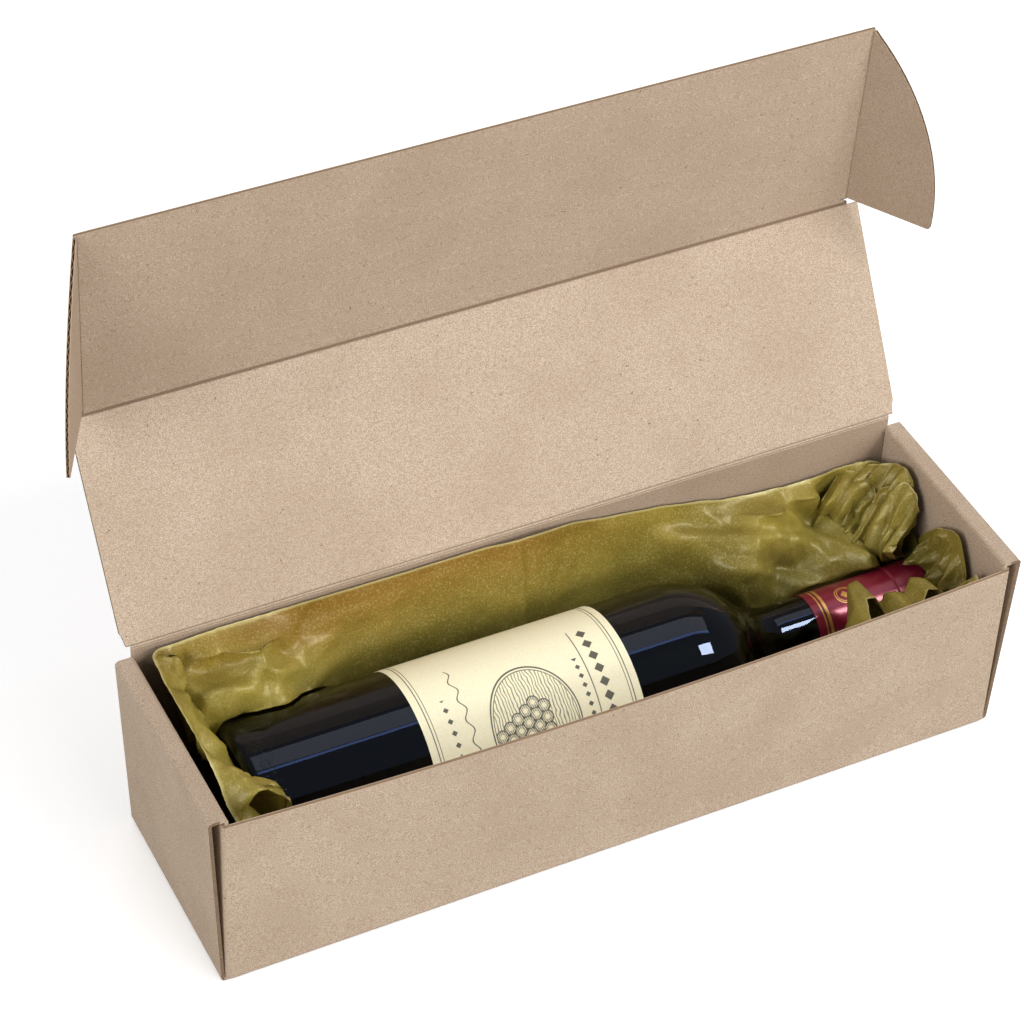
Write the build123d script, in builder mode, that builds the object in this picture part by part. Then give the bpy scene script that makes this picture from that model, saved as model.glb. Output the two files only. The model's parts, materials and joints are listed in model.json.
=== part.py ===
from build123d import *
import os
from math import atan2, cos, degrees, hypot, radians, sin, sqrt, tan
from random import Random

# Gift box of corrugated board, standing open, with a bottle of wine in crumpled tissue.
# Millimetres. X runs along the box, Y from the front wall to the back wall, Z up.
# The origin is the centre of the base's underside.

# Board and its folds
board = 1.5
fold_radius = 1.3            # to the middle of the board, at the folded corners
fold_run = 1.0               # flat board on each side of a folded corner
hinge_play = 0.12            # round the bead of a crease that still moves
mitre_angle = 43.5           # slope of the board beside a moving crease

# Tray
front_height = 89.5
end_height = 93.0
hinge_height = 98.0          # from the floor to the lid's crease
wall_bow = 5.0               # how far the front wall's rim stands out at mid-length
wall_foot = 8.0              # height at which the front wall starts to bow
foot_bow = 0.01              # as good as straight, at that height
corner_tab_length = 42.0
corner_tab_gap = 0.5         # between the base or the rolled top and a corner tab
end_foot = 1.7               # outer face of an end wall beyond the tabs, at the base
end_top = 5.3                # the same at the top
end_setback = 1.2            # from the front wall's outer face to the end wall's cut edge
panel_gap = 0.15             # between a corner tab and the inner end panel
panel_side_gap = 0.4         # between the inner end panel and the front and back walls
lock_width = 26.0
lock_spacing = 50.0
lock_gap = 0.3

# Lid, tuck flap and ears
lid_overhang = 1.5           # beyond the corner tabs, each end
lid_lean = 31.4              # from upright, as the box stands open
lid_corner = 7.0             # the lid's lower corners curve in towards the crease
lid_corner_radius = 21.0
flap_depth = 92.6
flap_fold = 34.8             # from the lid's plane, as the box stands open
flap_gap = 0.35              # between the tucked flap and the front wall
ear_gap = 0.35               # between a tucked ear and the end wall
ear_width = 39.7
ear_start = 3.3              # from the lid's fold to the ear's straight edge
ear_shoulder = 6.4           # straight stretch beside the ear's corner
ear_bulge = 8.6              # rise of the ear's curved edge over its chord
ear_toe = 4.1                # where the curve ends, short of the flap's edge
ear_toe_width = 4.7
ear_tip = 1.0                # of the ear's foot, short of the flap's edge
right_ear_fold = 55.0        # from the flap's plane
left_ear_fold = 62.0

# Bottle, lying level with its neck to the right
bottle_radius = 37.0
body_length = 198.8          # from the foot to the start of the shoulder
shoulder_radius = 42.0
neck_blend_radius = 27.5
neck_length = 70.4           # from the end of the shoulder to the mouth
neck_radius = 13.6
bore_radius = 9.4
glass = 3.4
heel_radius = 5.0
ring_width = 3.0             # of the ring that the bottle stands on
ring_height = 0.6
punt_radius = 28.0
punt_depth = 22.0
punt_glass = 4.5
punt_spread = 75.0           # degrees of the punt's arc, from the axis
finish_length = 15.0         # of the band under the mouth
finish_step = 0.5            # how far the band stands out of the neck
finish_bevel = 1.0
round_steps = 3              # straight steps that each round of the glass is drawn in
cork_length = 44.0
cork_play = 0.05
wine_play = 0.15
capsule_length = 57.2
capsule_skin = 0.3
capsule_play = 0.1
label_foot = 74.0            # from the bottle's foot to the label
label_width = 95.0
label_skin = 0.15
label_play = 0.03
label_middle = 138.0         # degrees from the back, over the top
label_wrap = 196.0

# Room round the bottle, which sets the size of the box
base_room = 22.0             # from the left end wall's inner panel to the foot
mouth_room = 6.5             # from the mouth to the right end wall's inner panel
front_room = 10.1
back_room = 12.3
bottle_seat_gap = 0.6        # over the tissue

# Tissue
tissue = 0.8
tissue_play = 0.3            # over the base
tissue_front_gap = 1.1       # behind the tucked flap
tissue_back_gap = 0.7
tissue_end_gap = 1.5         # inside the tucked ears
tissue_top_gap = 1.2         # under the closed lid
tissue_bottle_gap = 3.6
tissue_end_margin = 15.0     # round the foot and the mouth, where the sheet keeps as far away
tissue_foot_inset = 7.0
tissue_stations = 56
tissue_rows = 5
side_folds = 3.2             # depth of the folds along the front and back walls
end_folds = 15.0             # depth of the gathers at the end walls
gather_length = 24.0         # of the stretch at each end in which the sheet is gathered
tissue_seed = 11

# Worked out
half_board = board / 2
shoulder_rise = neck_radius + neck_blend_radius - bottle_radius + shoulder_radius
shoulder_run = sqrt((shoulder_radius + neck_blend_radius) ** 2 - shoulder_rise**2)
shoulder_turn = degrees(atan2(shoulder_run, shoulder_rise))
bottle_length = body_length + shoulder_run + neck_length
inner_face = (base_room + bottle_length + mouth_room) / 2
box_length = 2 * (inner_face + board + panel_gap + board)
box_width = front_room + 2 * bottle_radius + back_room + 2 * board
half_length = box_length / 2
half_width = box_width / 2
mitre = half_board / tan(radians(mitre_angle))
corner = fold_radius + half_board
lid_half_length = half_length + lid_overhang
hinge_y = half_width - half_board
front_crease_y = -half_width + board + flap_gap + half_board
lid_depth = hinge_y - front_crease_y
ear_crease = inner_face - ear_gap - half_board
flap_angle = lid_lean - flap_fold
floor_z = board + tissue_play
bottle_y = -half_width + board + front_room + bottle_radius
bottle_z = floor_z + tissue + bottle_seat_gap + bottle_radius
bottle_base_x = -inner_face + base_room
bottle_mouth_x = bottle_base_x + bottle_length
shoulder_start_x = bottle_base_x + body_length
shoulder_end_x = shoulder_start_x + shoulder_run
cork_x = bottle_mouth_x - cork_length
bottle_axis = Axis((0, bottle_y, bottle_z), (1, 0, 0))
bottle_plane = Plane(origin=(0, bottle_y, bottle_z), x_dir=(1, 0, 0), z_dir=(0, -1, 0))


def panel_direction(angle):
    """Unit vector up a panel that leans back by the angle from upright."""
    return Vector(0, sin(radians(angle)), cos(radians(angle)))


def panel_normal(angle):
    """Unit vector out of that panel's inner side."""
    return Vector(0, -cos(radians(angle)), sin(radians(angle)))


hinge_point = Vector(0, hinge_y, hinge_height)
flap_point = hinge_point + panel_direction(lid_lean) * lid_depth
flap_up = panel_direction(flap_angle)
flap_inward = panel_normal(flap_angle)


def crease_section(plane, depth, bead):
    """Section of a panel whose near edge turns on a crease, and whose far edge may carry the next."""
    far = depth - mitre if bead else depth
    with BuildSketch(plane) as section:
        with BuildLine():
            Polyline(
                (far, half_board),
                (mitre, half_board),
                (0, 0),
                (mitre, -half_board),
                (far, -half_board),
            )
            if bead:
                Polyline((far, -half_board), (depth, 0), (far, half_board))
            else:
                Line((far, -half_board), (far, half_board))
        make_face()
        Circle(half_board + hinge_play, mode=Mode.SUBTRACT)
        if bead:
            with Locations((depth, 0)):
                Circle(half_board)
    return section


def wall_strip(height, bow):
    """Plan of the front wall at a height, bowed outwards."""
    reach = half_length - corner
    with BuildSketch(Plane.XY.offset(height)) as strip:
        with BuildLine():
            SagittaArc((-reach, -half_width), (reach, -half_width), -bow)
            Line((reach, -half_width), (reach, -half_width + board))
            SagittaArc((reach, -half_width + board), (-reach, -half_width + board), bow)
            Line((-reach, -half_width + board), (-reach, -half_width))
        make_face()
    return strip


with BuildPart() as tray:
    # Base, foot of the front wall and back wall, folded from one strip, with the lid's crease on top
    with BuildSketch(Plane.YZ):
        with BuildLine():
            FilletPolyline(
                (-half_width + half_board, wall_foot),
                (-half_width + half_board, half_board),
                (hinge_y, half_board),
                (hinge_y, hinge_height - mitre),
                radius=fold_radius,
            )
        trace(line_width=board)
        with BuildLine():
            Polyline(
                (hinge_y - half_board, hinge_height - mitre),
                (hinge_y, hinge_height),
                (hinge_y + half_board, hinge_height - mitre),
                close=True,
            )
        make_face()
        with Locations((hinge_y, hinge_height)):
            Circle(half_board)
    extrude(amount=half_length - corner, both=True)

    # Front wall, straight at its foot and bowed at its rim
    loft([wall_strip(wall_foot, foot_bow).sketch, wall_strip(front_height, wall_bow).sketch])

    # Corner tabs, folded in from the front and back walls, behind each end wall's outer panel
    for end in (-1, 1):
        for side, tab_top in ((-1, front_height), (1, end_height - board - corner_tab_gap)):
            with BuildSketch(Plane.XY.offset(board + corner_tab_gap)):
                with BuildLine():
                    FilletPolyline(
                        (end * (half_length - corner - fold_run), side * hinge_y),
                        (end * (half_length - half_board), side * hinge_y),
                        (end * (half_length - half_board), side * (half_width - corner_tab_length)),
                        radius=fold_radius,
                    )
                trace(line_width=board)
            extrude(amount=tab_top - board - corner_tab_gap)

    # Roll-over end walls: out from the base, up the outer panel and over the top band
    for end in (-1, 1):
        with BuildSketch(Plane.XZ):
            with BuildLine():
                FilletPolyline(
                    (end * (half_length - corner - fold_run), half_board),
                    (end * (half_length + end_foot - half_board), half_board),
                    (end * (half_length + end_top - half_board), end_height - half_board),
                    (end * (inner_face + half_board), end_height - half_board),
                    (end * (inner_face + half_board), end_height - corner - fold_run),
                    radius=fold_radius,
                )
            trace(line_width=board)
        extrude(amount=half_width - end_setback, both=True)

        # Inner panel, rolled down inside
        with BuildSketch(Plane.XY.offset(board + corner_tab_gap)):
            with Locations((end * (inner_face + half_board), 0)):
                Rectangle(board, box_width - 2 * (board + panel_side_gap))
        extrude(amount=end_height - corner - board - corner_tab_gap)

        # Lock tabs of the inner panel, pushed through slots in the base
        with BuildSketch(Plane.XY):
            with Locations((end * (inner_face + half_board), 0)):
                with GridLocations(0, lock_spacing, 1, 2):
                    Rectangle(board + 2 * lock_gap, lock_width + 2 * lock_gap)
        extrude(amount=board, mode=Mode.SUBTRACT)
        with BuildSketch(Plane.XY):
            with Locations((end * (inner_face + half_board), 0)):
                with GridLocations(0, lock_spacing, 1, 2):
                    Rectangle(board, lock_width)
        extrude(amount=board + corner)
tray.part.label = "tray"


with BuildPart() as lid:
    up = panel_direction(lid_lean)
    panel = crease_section(Plane(origin=hinge_point, x_dir=up, z_dir=(1, 0, 0)), lid_depth, bead=True)
    extrude(panel.sketch, amount=lid_half_length, both=True)
    # The lower corners curve in to the crease
    with BuildSketch(Plane(origin=hinge_point, x_dir=(1, 0, 0), z_dir=panel_normal(lid_lean))):
        for end in (-1, 1):
            with BuildLine():
                outer = (end * lid_half_length, lid_corner)
                inner = (end * (lid_half_length - lid_overhang), 0)
                RadiusArc(outer, inner, -end * lid_corner_radius)
                Polyline(inner, (end * lid_half_length, 0), outer)
            make_face()
    extrude(amount=board, both=True, mode=Mode.SUBTRACT)
    # The far corners, beyond the flap, stop short of the fold
    with BuildSketch(Plane(origin=flap_point, x_dir=(1, 0, 0), z_dir=panel_normal(lid_lean))):
        for end in (-1, 1):
            with Locations((end * (ear_crease + half_board + lid_half_length) / 2, 0)):
                Rectangle(lid_half_length - ear_crease - half_board, 2 * half_board + mitre)
    extrude(amount=board, both=True, mode=Mode.SUBTRACT)
lid.part.label = "lid"


with BuildPart() as tuck_flap:
    panel = crease_section(Plane(origin=flap_point, x_dir=flap_up, z_dir=(1, 0, 0)), flap_depth, bead=False)
    extrude(panel.sketch, amount=ear_crease - mitre, both=True)
    # Side edges carry the creases of the ears
    for end in (-1, 1):
        side_plane = Plane(origin=flap_point + flap_up * (board + mitre), x_dir=(1, 0, 0), z_dir=flap_up)
        with BuildSketch(side_plane):
            with BuildLine():
                Polyline(
                    (end * (ear_crease - mitre), half_board),
                    (end * ear_crease, 0),
                    (end * (ear_crease - mitre), -half_board),
                    close=True,
                )
            make_face()
            with Locations((end * ear_crease, 0)):
                Circle(half_board)
        extrude(amount=flap_depth - board - mitre)
tuck_flap.part.label = "tuck_flap"


def build_ear(end, fold):
    """One ear on the flap's side edge, turned in by its fold."""
    along = Vector(end * cos(radians(fold)), 0, 0) + flap_inward * sin(radians(fold))
    pivot = flap_point + Vector(end * ear_crease, 0, 0)
    with BuildPart() as ear:
        panel = crease_section(Plane(origin=pivot, x_dir=along, z_dir=flap_up), ear_width, bead=False)
        extrude(panel.sketch, amount=flap_depth)
        with BuildSketch(Plane(origin=pivot, x_dir=along, z_dir=along.cross(flap_up))):
            with BuildLine():
                shoulder = (ear_width, ear_start + ear_shoulder)
                toe = (ear_toe_width, flap_depth - ear_toe)
                outline = FilletPolyline((0, ear_start), (ear_width, ear_start), shoulder, radius=board)
                curve = SagittaArc(outline @ 1, toe, -ear_bulge)
                Polyline(curve @ 1, (board, flap_depth - ear_tip), (0, flap_depth - ear_tip), outline @ 0)
            make_face()
        extrude(amount=board, both=True, mode=Mode.INTERSECT)
    return ear


right_ear = build_ear(1, right_ear_fold)
right_ear.part.label = "right_ear"
left_ear = build_ear(-1, left_ear_fold)
left_ear.part.label = "left_ear"


def steps(arc):
    """Points that part an arc into equal steps, with its ends."""
    return [arc @ (step / round_steps) for step in range(round_steps + 1)]


def shoulder_arcs(radius, depth):
    """Arcs of the shoulder from the body to the neck, set in by a depth from the outer glass."""
    start = (shoulder_start_x, radius)
    turn = JernArc(start, (1, 0), shoulder_radius - depth, -shoulder_turn, mode=Mode.PRIVATE)
    blend = JernArc(turn @ 1, turn % 1, neck_blend_radius + depth, shoulder_turn, mode=Mode.PRIVATE)
    return turn, blend


def draw_cavity(play, end):
    """Inside of the bottle as far as an end along its axis, set in by a play from the glass."""
    wall = bottle_radius - glass - play
    bore = bore_radius - play
    dome = punt_radius + punt_glass + play
    dome_centre = bottle_base_x + punt_depth - punt_radius
    heel_x = bottle_base_x + heel_radius + 2 * play
    rise = atan2(wall, heel_x - dome_centre) / 2
    turn = shoulder_arcs(wall, glass + play)[0]
    Polyline(
        (dome_centre + dome, 0),
        (dome_centre + dome * cos(rise), dome * sin(rise)),
        (heel_x, wall),
        turn @ 0,
        turn @ 1,
        (shoulder_end_x, bore),
        (end, bore),
        (end, 0),
        close=True,
    )


def finish_points(start_x, reach):
    """Neck from a start along its axis, over the band, to the middle of the mouth, set out by a reach."""
    band_x = bottle_mouth_x - finish_length
    band = neck_radius + finish_step
    return [
        (start_x, neck_radius + reach),
        (band_x - finish_bevel, neck_radius + reach),
        (band_x, band + reach),
        (bottle_mouth_x - finish_bevel + reach / 2, band + reach),
        (bottle_mouth_x + reach, band - finish_bevel + reach / 2),
        (bottle_mouth_x + reach, 0),
    ]


with BuildPart() as bottle:
    with BuildSketch(bottle_plane):
        with BuildLine():
            dome_centre = bottle_base_x + punt_depth - punt_radius
            dome = CenterArc((dome_centre, 0), punt_radius, 0, punt_spread, mode=Mode.PRIVATE)
            ring_foot = (bottle_base_x, bottle_radius - heel_radius - ring_width / 2)
            heel_foot = (bottle_base_x + ring_height, bottle_radius - heel_radius + ring_width / 2)
            heel = JernArc(heel_foot, (0, 1), bottle_radius - heel_foot[1], -90, mode=Mode.PRIVATE)
            turn, blend = shoulder_arcs(bottle_radius, 0)
            neck = finish_points(shoulder_end_x, 0)
            Polyline(*steps(dome), ring_foot, *steps(heel), *steps(turn), blend @ 0.5, *neck, close=True)
        make_face()
    revolve(axis=bottle_axis)
    with BuildSketch(bottle_plane):
        with BuildLine():
            draw_cavity(0, bottle_mouth_x)
        make_face()
    revolve(axis=bottle_axis, mode=Mode.SUBTRACT)
bottle.part.label = "bottle"


with BuildPart() as wine:
    with BuildSketch(bottle_plane):
        with BuildLine():
            draw_cavity(wine_play, cork_x - wine_play)
        make_face()
    revolve(axis=bottle_axis)
wine.part.label = "wine"


with BuildPart() as cork:
    with BuildSketch(Plane(origin=(cork_x, bottle_y, bottle_z), x_dir=(0, 1, 0), z_dir=(1, 0, 0))):
        Circle(bore_radius - cork_play)
    extrude(amount=cork_length)
cork.part.label = "cork"


with BuildPart() as capsule:
    capsule_x = bottle_mouth_x + capsule_play + capsule_skin - capsule_length
    with BuildSketch(bottle_plane):
        with BuildLine():
            outside = finish_points(capsule_x, capsule_play + capsule_skin)
            inside = finish_points(capsule_x, capsule_play)
            Polyline(*outside, *reversed(inside), close=True)
        make_face()
    revolve(axis=bottle_axis)
capsule.part.label = "capsule"


with BuildPart() as label:
    start = radians(label_middle - label_wrap / 2)
    label_plane = Plane(
        origin=(bottle_base_x + label_foot, bottle_y, bottle_z),
        x_dir=(1, 0, 0),
        z_dir=(0, -sin(start), cos(start)),
    )
    with BuildSketch(label_plane):
        with Locations((0, bottle_radius + label_play)):
            Rectangle(label_width, label_skin, align=(Align.MIN, Align.MIN))
    revolve(axis=bottle_axis, revolution_arc=label_wrap)
label.part.label = "label"


# Tissue: one crumpled sheet, pressed into the tray, its edge standing up along the walls
tissue_front_y = front_crease_y + half_board + tissue_front_gap
tissue_back_y = half_width - board - tissue_back_gap
tissue_end_x = ear_crease - half_board - tissue_end_gap
tissue_top = hinge_height - half_board - tissue_top_gap
tissue_middle_y = (tissue_front_y + tissue_back_y) / 2
tissue_half_width = (tissue_back_y - tissue_front_y) / 2
# The edge's course, as shares of the room: along the box, from the front wall to the back, and up
tissue_rim = (
    (-0.35, -1, 0.46),
    (0.35, -1, 0.46),
    (0.73, -1, 0.54),
    (0.92, -0.98, 0.67),
    (0.99, -0.74, 0.85),
    (1, -0.24, 0.75),
    (0.99, 0.28, 0.95),
    (0.965, 0.83, 0.96),
    (0.77, 1, 0.865),
    (0.41, 1, 0.905),
    (0, 0.91, 1),
    (-0.41, 1, 0.98),
    (-0.84, 1, 1),
    (-0.955, 0.7, 1),
    (-1, 0.08, 1),
    (-1, -0.54, 0.95),
    (-0.98, -0.91, 0.83),
    (-0.78, -1, 0.5),
)


def tissue_place(along, across, up):
    """Point at shares of the room that the sheet lines."""
    return (tissue_end_x * along, tissue_middle_y + tissue_half_width * across, tissue_top * up)


def bottle_distance(place):
    """From a place to the bottle, taken as a cylinder for the body and one for the neck in its capsule."""
    off_axis = hypot(place.Y - bottle_y, place.Z - bottle_z)
    reach = capsule_play + capsule_skin
    body = (bottle_base_x, shoulder_end_x, bottle_radius)
    neck = (shoulder_end_x, bottle_mouth_x + reach, neck_radius + finish_step + reach)
    distances = []
    for start, end, radius in (body, neck):
        beyond = max(start - place.X, place.X - end, 0)
        margin = tissue_end_margin if beyond > 0 else 0
        distances.append(hypot(beyond, max(off_axis - radius - margin, 0)))
    return min(distances)


def tissue_points():
    """Outer and inner points of the sheet, by row from its foot to its rim and by station round it."""
    rim = Wire(Spline(*[tissue_place(*share) for share in tissue_rim], periodic=True).edges())
    chance = Random(tissue_seed)
    outer_rows = [[] for _ in range(tissue_rows + 1)]
    inner_rows = [[] for _ in range(tissue_rows + 1)]
    for station in range(tissue_stations):
        place = rim @ (station / tissue_stations)
        x = max(-tissue_end_x, min(tissue_end_x, place.X))
        y = max(tissue_front_y, min(tissue_back_y, place.Y))
        top = min(place.Z, tissue_top)
        tangent = rim % (station / tissue_stations)
        inward = Vector(-tangent.Y, tangent.X, 0).normalized()
        gathered = abs(x) > tissue_end_x - gather_length
        depth = end_folds if gathered else side_folds
        pleat = chance.uniform(0.4, 1) if station % 2 else chance.uniform(0, 0.5)
        for row in range(tissue_rows + 1):
            share = row / tissue_rows
            height = floor_z + (top - floor_z) * share
            inset = tissue_foot_inset * (1 - share) ** 3
            if 0 < row:
                inset += depth * pleat * chance.uniform(0.6, 1)
            if 0 < row < tissue_rows:
                height += tissue_foot_inset * chance.uniform(-0.5, 0.5)
            wall = Vector(x, y, height)
            if 0 < row:
                inset = min(inset, max(0, bottle_distance(wall) - tissue - tissue_bottle_gap))
            outer = wall + inward * inset
            outer_rows[row].append(outer)
            rise = Vector(0, 0, tissue) if row == 0 else Vector(0, 0, 0)
            inner_rows[row].append(outer + inward * tissue + rise)
    return outer_rows, inner_rows


def triangle(a, b, c):
    """Flat face on three points."""
    return Face(Wire.make_polygon([a, b, c]))


def skin(rows):
    """Facets between the rows of points, all the way round."""
    facets = []
    for row in range(len(rows) - 1):
        for station in range(tissue_stations):
            after = (station + 1) % tissue_stations
            low_a, low_b = rows[row][station], rows[row][after]
            high_a, high_b = rows[row + 1][station], rows[row + 1][after]
            if (row + station) % 2:
                facets += [triangle(low_a, low_b, high_b), triangle(low_a, high_b, high_a)]
            else:
                facets += [triangle(low_a, low_b, high_a), triangle(low_b, high_b, high_a)]
    return facets


with BuildPart() as tissue_sheet:
    outer_rows, inner_rows = tissue_points()
    facets = skin(outer_rows) + skin(inner_rows) + skin([outer_rows[-1], inner_rows[-1]])
    facets.append(Face(Wire.make_polygon(outer_rows[0])))
    facets.append(Face(Wire.make_polygon(inner_rows[0])))
    add(Solid(Shell(facets)))
tissue_sheet.part.label = "tissue"


os.makedirs("parts", exist_ok=True)
for piece in (tray, lid, tuck_flap, right_ear, left_ear, bottle, wine, cork, capsule, label, tissue_sheet):
    export_step(piece.part, f"parts/{piece.part.label}.step")
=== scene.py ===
import json
from math import atan2, cos, hypot, pi, radians, sin, sqrt
from random import Random

import bmesh
import bpy
from mathutils import Matrix, Vector, noise


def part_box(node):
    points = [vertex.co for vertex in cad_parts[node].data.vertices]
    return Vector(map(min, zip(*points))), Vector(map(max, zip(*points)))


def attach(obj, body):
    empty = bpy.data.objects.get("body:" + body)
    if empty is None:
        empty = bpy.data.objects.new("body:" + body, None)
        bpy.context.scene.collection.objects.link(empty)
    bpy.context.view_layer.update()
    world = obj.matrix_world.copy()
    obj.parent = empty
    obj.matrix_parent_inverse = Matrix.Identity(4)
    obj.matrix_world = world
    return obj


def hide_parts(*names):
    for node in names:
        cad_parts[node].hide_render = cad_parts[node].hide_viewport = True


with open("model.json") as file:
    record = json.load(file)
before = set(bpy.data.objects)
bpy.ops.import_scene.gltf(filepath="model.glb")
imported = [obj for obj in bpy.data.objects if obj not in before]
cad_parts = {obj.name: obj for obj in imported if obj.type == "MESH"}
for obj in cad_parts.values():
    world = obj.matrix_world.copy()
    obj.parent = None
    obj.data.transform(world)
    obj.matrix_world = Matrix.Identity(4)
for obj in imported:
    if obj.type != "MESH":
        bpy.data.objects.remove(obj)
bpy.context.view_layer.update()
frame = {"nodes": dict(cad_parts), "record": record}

# Wine gift box: looks of the board, the bottle, its label and capsule, and the tissue.
# Metres, in the frame's axes: X along the box, Y to the back wall, Z up.

MM = 0.001

# Camera, fitted to the box's corners
CAMERA_AZIMUTH = radians(-28.117)
CAMERA_ELEVATION = radians(41.977)
CAMERA_ROLL = radians(2.796)
CAMERA_DISTANCE = 1.4255
CAMERA_LENS = 120.81
CAMERA_SENSOR = 36.0
CAMERA_CENTRE_HEIGHT = 0.060
CAMERA_ASIDE = -0.02905
CAMERA_UP = 0.06292

# Board
BOARD = 1.5 * MM
FLUTE_PITCH = 4.1 * MM
BOX_LENGTH = 356.0 * MM
BOX_WIDTH = 99.4 * MM
FRONT_HEIGHT = 89.5 * MM
WALL_BOW = 5.0 * MM

# Bottle
BOTTLE_RADIUS = 37.0 * MM
NECK_RADIUS = 13.6 * MM
BORE_RADIUS = 9.4 * MM
GLASS = 3.4 * MM
BODY_LENGTH = 198.8 * MM
FINISH_LENGTH = 15.0 * MM
SHOULDER_RADIUS = 42.0 * MM
NECK_BLEND = 27.5 * MM
PUNT_RADIUS = 28.0 * MM
PUNT_DEPTH = 22.0 * MM
HEEL = 5.0 * MM
CORK_LENGTH = 44.0 * MM
CORK_GAP = 0.2 * MM
WINE_OVERLAP = 0.04 * MM    # the wine reaches into the glass, because an air gap would mirror the light
ROUND = 144
LABEL_MIDDLE = radians(138)
CAPSULE_MIDDLE = radians(96)
CAPSULE_OUT = 0.7 * MM

JOINTS = {joint["name"]: joint for joint in frame["record"]["behaviour"]["joints"]}
bottle_low, bottle_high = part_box("bottle")
BOTTLE_Y = (bottle_low[1] + bottle_high[1]) / 2
BOTTLE_Z = (bottle_low[2] + bottle_high[2]) / 2
BOTTLE_BASE = bottle_low[0]
BOTTLE_MOUTH = bottle_high[0]
SHOULDER_START = BOTTLE_BASE + BODY_LENGTH


class Graph:
    """A material's node tree, built by small calls."""

    def __init__(self, name):
        self.material = bpy.data.materials.new(name)
        self.material.use_nodes = True
        self.tree = self.material.node_tree
        self.shader = self.tree.nodes["Principled BSDF"]
        self.place = self.add("ShaderNodeTexCoord")

    def add(self, kind, **settings):
        node = self.tree.nodes.new(kind)
        for key, value in settings.items():
            setattr(node, key, value)
        return node

    def feed(self, socket, value):
        if isinstance(value, bpy.types.NodeSocket):
            self.tree.links.new(value, socket)
        else:
            socket.default_value = value

    def math(self, operation, a, b=0.0, c=0.0):
        node = self.add("ShaderNodeMath", operation=operation)
        for socket, value in zip(node.inputs, (a, b, c)):
            self.feed(socket, value)
        return node.outputs[0]

    def vector_math(self, operation, vector, other):
        node = self.add("ShaderNodeVectorMath", operation=operation)
        self.feed(node.inputs[0], vector)
        node.inputs[1].default_value = other
        return node

    def dot(self, vector, direction):
        return self.vector_math("DOT_PRODUCT", vector, direction).outputs["Value"]

    def distance(self, vector, place):
        return self.vector_math("DISTANCE", vector, place).outputs["Value"]

    def shifted(self, vector, offset):
        return self.vector_math("ADD", vector, offset).outputs["Vector"]

    def scaled(self, vector, scale):
        return self.vector_math("MULTIPLY", vector, scale).outputs["Vector"]

    def split(self, vector):
        node = self.add("ShaderNodeSeparateXYZ")
        self.feed(node.inputs[0], vector)
        return node.outputs

    def flat_point(self, x, y):
        node = self.add("ShaderNodeCombineXYZ")
        self.feed(node.inputs[0], x)
        self.feed(node.inputs[1], y)
        return node.outputs[0]

    def noise(self, vector, scale, detail=2.0, roughness=0.5, distortion=0.0):
        node = self.add("ShaderNodeTexNoise")
        self.feed(node.inputs["Vector"], vector)
        node.inputs["Scale"].default_value = scale
        node.inputs["Detail"].default_value = detail
        node.inputs["Roughness"].default_value = roughness
        node.inputs["Distortion"].default_value = distortion
        return node.outputs["Fac"]

    def band(self, value, low, high, out_low=0.0, out_high=1.0):
        """Smooth step from out_low at low to out_high at high."""
        node = self.add("ShaderNodeMapRange", interpolation_type="SMOOTHSTEP")
        for socket, number in zip(node.inputs, (value, low, high, out_low, out_high)):
            self.feed(socket, number)
        return node.outputs[0]

    def mix(self, share, a, b):
        """Colour a, with a share of colour b."""
        node = self.add("ShaderNodeMix", data_type="RGBA")
        self.feed(node.inputs["Factor"], share)
        self.feed(node.inputs[6], a if isinstance(a, bpy.types.NodeSocket) else (*a, 1.0))
        self.feed(node.inputs[7], b if isinstance(b, bpy.types.NodeSocket) else (*b, 1.0))
        return node.outputs[2]

    def bump(self, height, distance, strength=1.0, after=None):
        node = self.add("ShaderNodeBump")
        self.feed(node.inputs["Height"], height)
        node.inputs["Distance"].default_value = distance
        node.inputs["Strength"].default_value = strength
        if after is not None:
            self.feed(node.inputs["Normal"], after)
        return node.outputs[0]

    def finish(self, colour, roughness, normal=None, **sockets):
        """Joins the results to the shader; sockets are named with _ for a space."""
        self.feed(self.shader.inputs["Base Color"], colour)
        self.feed(self.shader.inputs["Roughness"], roughness)
        if normal is not None:
            self.feed(self.shader.inputs["Normal"], normal)
        for name, value in sockets.items():
            self.feed(self.shader.inputs[name.replace("_", " ")], value)
        return self.material


def srgb(red, green, blue):
    """Linear colour from 8-bit display values."""
    def channel(value):
        value /= 255
        return value / 12.92 if value <= 0.04045 else ((value + 0.055) / 1.055) ** 2.4
    return channel(red), channel(green), channel(blue)


# Board materials

KRAFT = srgb(184, 162, 139)
KRAFT_DARK = srgb(149, 127, 104)
KRAFT_LIGHT = srgb(202, 184, 165)
FLECK = srgb(112, 88, 66)
MEDIUM = srgb(132, 104, 76)
# dark of the open flutes: painted shade in their holes
FLUTE_HOLE_SHADE = srgb(34, 22, 14)
# dark of a crease: partly the pressed board, partly painted shade in the fold
CREASE_PRESSED_AND_SHADED = srgb(104, 80, 60)
KRAFT_ROUGHNESS = 0.86
KRAFT_GLOSS = 0.25

# Share of the fleck's colour mixed into the liner as painted shade, for panels that are darker
BACK_WALL_PAINTED_SHADE = 0.38
FLAP_PAINTED_SHADE = 0.22
EAR_PAINTED_SHADE = 0.34


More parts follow.
